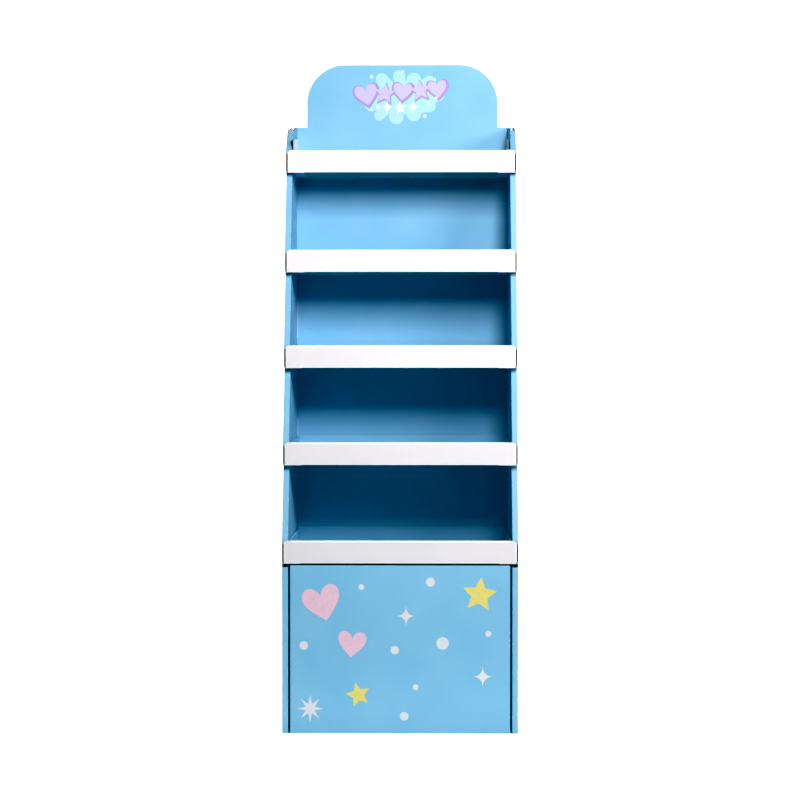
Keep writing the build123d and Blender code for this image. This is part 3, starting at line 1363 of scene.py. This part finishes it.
@dataclass
class HeaderPrint:
    """A pale scalloped cloud on the header card, with a row of hearts and stars across it."""

    centre: Pair = (4.7 * MM, 1659.0 * MM)  # of the cloud, which the other places are round
    cloud_mm: tuple[Point, ...] = (  # the x and z of each lobe's middle, and its radius
        (-60, 49, 17),
        (-13, 57, 17),
        (26, 47, 20),
        (68, 41, 18),
        (93, 4, 15),
        (68, -22, 18),
        (26, -44, 20),
        (-21, -52, 20),
        (-66, -48, 15),
        (-88, -18, 19),
        (0, 0, 45),
        (45, 0, 42),
        (-45, 0, 42),
    )
    row: tuple[PrintedShape, ...] = (
        PrintedShape(Motif.HEART, -102, 9, 30, tilt=12),
        PrintedShape(Motif.STAR, -52, 11, 28, tilt=-6),
        PrintedShape(Motif.HEART, -4, 17, 25, tilt=-4),
        PrintedShape(Motif.STAR, 44, 19, 28, tilt=8),
        PrintedShape(Motif.HEART, 90, 24, 25, tilt=6),
    )
    border_mm: float = 6.5  # how far the lilac shows round each shape of the row
    border_shift_mm: Pair = (1.5, -2.5)
    dots: tuple[PrintedShape, ...] = (
        PrintedShape(Motif.DOT, -88, 56, 4.6),
        PrintedShape(Motif.DOT, -3, 70, 2.7),
        PrintedShape(Motif.DOT, 83, 49, 2.7),
        PrintedShape(Motif.DOT, 86, -1, 3.5),
        PrintedShape(Motif.DOT, 67, -17, 4.0),
        PrintedShape(Motif.DOT, -71, -26, 4.0),
        PrintedShape(Motif.DOT, -88, -33, 3.2),
        PrintedShape(Motif.DOT, 56, -50, 4.8),
        PrintedShape(Motif.SPARKLE, -46, -26, 17, stretch=1.2),
        PrintedShape(Motif.STAR, -10, -28, 17, tilt=6),
        PrintedShape(Motif.SPARKLE, 24, -26, 17, stretch=1.2),
    )

    def build(self) -> None:
        """Prints the header."""
        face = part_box("header_card")[0].y
        cloud = [(x * MM, z * MM) for x, z in puff_outline(self.cloud_mm)]
        shift_x, shift_z = self.border_shift_mm
        border = [
            replace(
                shape,
                x_mm=shape.x_mm + shift_x,
                z_mm=shape.z_mm + shift_z,
                size_mm=shape.size_mm + self.border_mm,
            )
            for shape in self.row
        ]
        layers = [("header_cloud", [cloud], Ink("pale cyan ink", "#A9D0D8"))]
        for name, shapes, ink in (
            ("header_row_border", border, Ink("lilac ink", "#A98CCB")),
            ("header_row", self.row, Ink("pale lilac ink", "#C3B5DF")),
            ("header_dots", self.dots, Ink("white ink", "#E6E8EF")),
        ):
            layers.append((name, [shape.points() for shape in shapes], ink))
        centre_x, centre_z = self.centre
        for number, (name, outlines, ink) in enumerate(layers, 1):
            placed = [[(centre_x + x, centre_z + z) for x, z in outline] for outline in outlines]
            print_shapes(name, placed, face - number * PRINT_LIFT, ink.make())


# ---- Studio -------------------------------------------------------------------------------------


@dataclass
class Studio:
    """Floor, lights and camera."""

    layout: Layout
    camera_distance: float = 5.7253  # from the front edges of the side walls
    camera_side: float = 0.092
    camera_height: float = 0.95
    aim_height: float = 0.8484
    focal_length_mm: float = 101.6
    sensor_width_mm: float = 36.0

    key_at: Point = (0.5, -2.3, 2.08)
    key_aim: Point = (0.0, 0.0, 1.7)
    key_size: Pair = (0.45, 0.8)  # width and height of the softbox
    key_power: float = 49.0  # watts
    side_at: Point = (2.3, -2.3, 2.1)
    side_size: Pair = (1.2, 0.8)
    side_power: float = 34.0
    bounce_at: Point = (0.0, -0.36, 0.02)  # what the white floor throws on the plinth
    bounce_aim: Point = (0.0, -0.2, 0.06)
    bounce_size: Pair = (1.0, 0.1)
    bounce_power: float = 0.22
    rim_at: Point = (2.6, 2.2, 2.2)  # and the same on the left
    rim_aim: Point = (0.0, 0.0, 0.9)
    rim_size: Pair = (1.6, 1.6)
    rim_power: float = 62.0
    rim_colour: Point = (1.0, 0.9, 0.89)  # a little warm, against the cool light off the floor

    floor_half: float = 150.0
    floor_colour: Point = (0.55, 0.6, 0.58)
    floor_glow: float = 0.985  # the light that it gives off, which lifts it to white
    sky_strength: float = 0.035
    sky_colour: Point = (0.0, 0.9, 0.65)  # cool fill, so that shaded blue board turns to teal
    black_level: Point = (0.03, 0.0, 0.0)  # takes the last red out of the shadows

    def build(self) -> None:
        """Sets the studio up."""
        self._floor()
        self._lights()
        self._camera()
        scene = bpy.context.scene
        scene.view_settings.view_transform = "Standard"
        scene.view_settings.look = "High Contrast"
        scene.view_settings.use_curve_mapping = True
        curves = scene.view_settings.curve_mapping
        curves.black_level = self.black_level
        curves.update()

    def _floor(self) -> None:
        """Lays a wide pale floor, and a sky that looks white but gives little light."""
        mesh = bmesh.new()
        bmesh.ops.create_grid(mesh, x_segments=1, y_segments=1, size=self.floor_half)
        floor = make_object("studio_floor", mesh)
        floor.data.materials.append(self._white_ground())
        world = bpy.data.worlds.new("white studio")
        world.use_nodes = True
        bpy.context.scene.world = world
        tree = world.node_tree
        tree.nodes.clear()
        seen, lit = (
            add_node(
                tree, "ShaderNodeBackground", values={"Color": (*colour, 1), "Strength": strength}
            )
            for colour, strength in (((1, 1, 1), 1.0), (self.sky_colour, self.sky_strength))
        )
        straight = add_node(tree, "ShaderNodeLightPath").outputs["Is Camera Ray"]
        mixed = add_node(
            tree, "ShaderNodeMixShader", {0: straight, 1: lit.outputs[0], 2: seen.outputs[0]}
        )
        add_node(tree, "ShaderNodeOutputWorld", {"Surface": mixed.outputs[0]})

    def _white_ground(self) -> bpy.types.Material:
        """Makes matt backdrop paper that burns out to white, with a trace of contact shadow.

        Returns:
            The material.
        """
        material = bpy.data.materials.new("white backdrop paper")
        material.use_nodes = True
        tree = material.node_tree
        tree.nodes.clear()
        colour = (*self.floor_colour, 1)
        paper = add_node(tree, "ShaderNodeBsdfDiffuse", values={"Color": colour})
        bright = add_node(tree, "ShaderNodeEmission", values={"Strength": self.floor_glow})
        both = add_node(tree, "ShaderNodeAddShader", {0: paper.outputs[0], 1: bright.outputs[0]})
        straight = add_node(tree, "ShaderNodeLightPath").outputs["Is Camera Ray"]
        seen_clear = add_node(
            tree,
            "ShaderNodeMath",
            {0: straight, 1: self._clear_of_stand(tree)},
            operation="MULTIPLY",
        )
        mixed = add_node(
            tree,
            "ShaderNodeMixShader",
            {0: seen_clear.outputs[0], 1: paper.outputs[0], 2: both.outputs[0]},
        )
        add_node(tree, "ShaderNodeOutputMaterial", {"Surface": mixed.outputs[0]})
        return material

    def _clear_of_stand(self, tree: bpy.types.NodeTree) -> bpy.types.NodeSocket:
        """Masks the stand's footprint, so that no white floor shows through its gaps.

        Args:
            tree: The floor's node tree.

        Returns:
            0 on the floor inside the footprint and 1 outside it.
        """
        coords = add_node(tree, "ShaderNodeTexCoord").outputs["Object"]
        reach = (self.layout.half_width, -self.layout.wall_edge(0), 1.0)
        shares = add_node(
            tree, "ShaderNodeVectorMath", {0: coords}, {1: reach}, operation="DIVIDE"
        )
        sizes = add_node(
            tree, "ShaderNodeVectorMath", {0: shares.outputs[0]}, operation="ABSOLUTE"
        )
        parts = add_node(tree, "ShaderNodeSeparateXYZ", {"Vector": sizes.outputs[0]})
        furthest = add_node(
            tree,
            "ShaderNodeMath",
            {0: parts.outputs["X"], 1: parts.outputs["Y"]},
            operation="MAXIMUM",
        )
        return add_node(
            tree, "ShaderNodeMath", {0: furthest.outputs[0]}, {1: 1.0}, operation="GREATER_THAN"
        ).outputs[0]

    def _lights(self) -> None:
        """Hangs two soft keys in front, to the right, a low bounce and a rim light on each side."""
        for name, at, aim, size, power in (
            ("key", self.key_at, self.key_aim, self.key_size, self.key_power),
            ("side_key", self.side_at, self.key_aim, self.side_size, self.side_power),
            ("floor_bounce", self.bounce_at, self.bounce_aim, self.bounce_size, self.bounce_power),
        ):
            self._area(name, at, aim, size, power)
        rim_x, rim_y, rim_z = self.rim_at
        for name, x in (("left_rim", -rim_x), ("right_rim", rim_x)):
            rim = self._area(name, (x, rim_y, rim_z), self.rim_aim, self.rim_size, self.rim_power)
            rim.color = self.rim_colour

    @staticmethod
    def _area(
        name: str, at: Point, aim: Point, size: Pair, power: float
    ) -> bpy.types.AreaLight:
        """Adds one rectangular area light.

        Args:
            name: Its name.
            at: Where it hangs.
            aim: The point that it faces.
            size: Its width and height.
            power: In watts.

        Returns:
            The lamp.
        """
        data = bpy.data.lights.new(name, "AREA")
        data.shape = "RECTANGLE"
        data.size, data.size_y = size
        data.energy = power
        light = bpy.data.objects.new(name, data)
        bpy.context.collection.objects.link(light)
        light.location = at
        light.visible_camera = False
        light.rotation_euler = (Vector(aim) - Vector(at)).to_track_quat("-Z", "Y").to_euler()
        return data

    def _camera(self) -> None:
        """Stands a long lens far in front, a little to the right."""
        front = self.layout.wall_edge(0)
        data = bpy.data.cameras.new("camera")
        data.lens, data.sensor_width = self.focal_length_mm, self.sensor_width_mm
        camera = bpy.data.objects.new("camera", data)
        bpy.context.collection.objects.link(camera)
        at = Vector((self.camera_side, front - self.camera_distance, self.camera_height))
        aim = Vector((0.0, front, self.aim_height))
        camera.location = at
        camera.rotation_euler = (aim - at).to_track_quat("-Z", "Y").to_euler()
        bpy.context.scene.camera = camera


def board_finishes() -> tuple[BoardFinish, BoardFinish]:
    """Makes the two kinds of board that the stand is folded from.

    Returns:
        The blue printed board and the white one.
    """
    # white paper without ink or varnish: dull and pale
    liner = CoatedFace("white inner liner", "#E9E8EC", roughness=0.7).make()
    # offset ink under satin varnish: an even blue with a broad, weak sheen
    face = CoatedFace("light blue litho print, satin varnish", BLUE_INK, sheen_level=0.15)
    # along each fold: painted shade, a slightly darker line, with a few flecks of paper where the
    # ink has worn off
    fold = CoatedFace("blue print along a fold, painted shade and worn", "#80B2D2", sheen_level=0.1, wear=0.1)
    blue_face = face.make()
    blue = BoardFinish(
        "printed_board",
        face=blue_face,
        fold=fold.make(),
        under=blue_face,
        liner=liner,
        edge=RawEdge("raw edge of corrugated board").make(),
    )
    # clay coat without ink: smooth and bright; along a fold, a painted highlight makes it brighter
    # still
    white_face = CoatedFace("white coated liner, satin", WHITE_COAT, varnish=0.1)
    # painted highlight: the folds of the white lips are coloured brighter than the face
    white_fold_painted_highlight = CoatedFace("white liner along a fold, painted highlight", "#F4F4F7", varnish=0.1)
    # painted shade: a matt and rather dark grey-blue, on what is folded under the shelves
    under = CoatedFace("grey-blue liner, painted shade under the shelves", "#6F98A8", roughness=0.8, sheen_level=0.1)
    white = BoardFinish(
        "white_board",
        face=white_face.make(),
        fold=white_fold_painted_highlight.make(),
        # the white board's underside is painted shade, where the lips face down
        under=under.make(),
        liner=liner,
        # its hollows are painted shade, paler on the white board
        edge=RawEdge("raw edge of white board", medium="#DCD3CB", hollow="#A89A8E").make(),
    )
    return blue, white


def main() -> None:
    """Builds the stand, its print and the studio."""
    logging.basicConfig(level=logging.INFO, format="%(name)s: %(message)s")
    layout = Layout()
    blue, white = board_finishes()
    blue_both_sides = replace(blue, fold=blue.face, liner=blue.face)
    blue_white_inside = replace(blue, slot="white_board")
    SideWalls(layout).build(blue)
    BackAndHeader(layout).build(blue)
    ShelfTrays(layout).build(blue_both_sides, blue_white_inside)
    ShelfLips(layout).build(white)
    plinth = Plinth()
    plinth.build(blue)
    PlinthPrint().build()
    HeaderPrint().build()
    plinth.dress_dividers(KraftFace("plain kraft liner").make())
    Studio(layout).build()


if __name__ == "__main__":
    main()
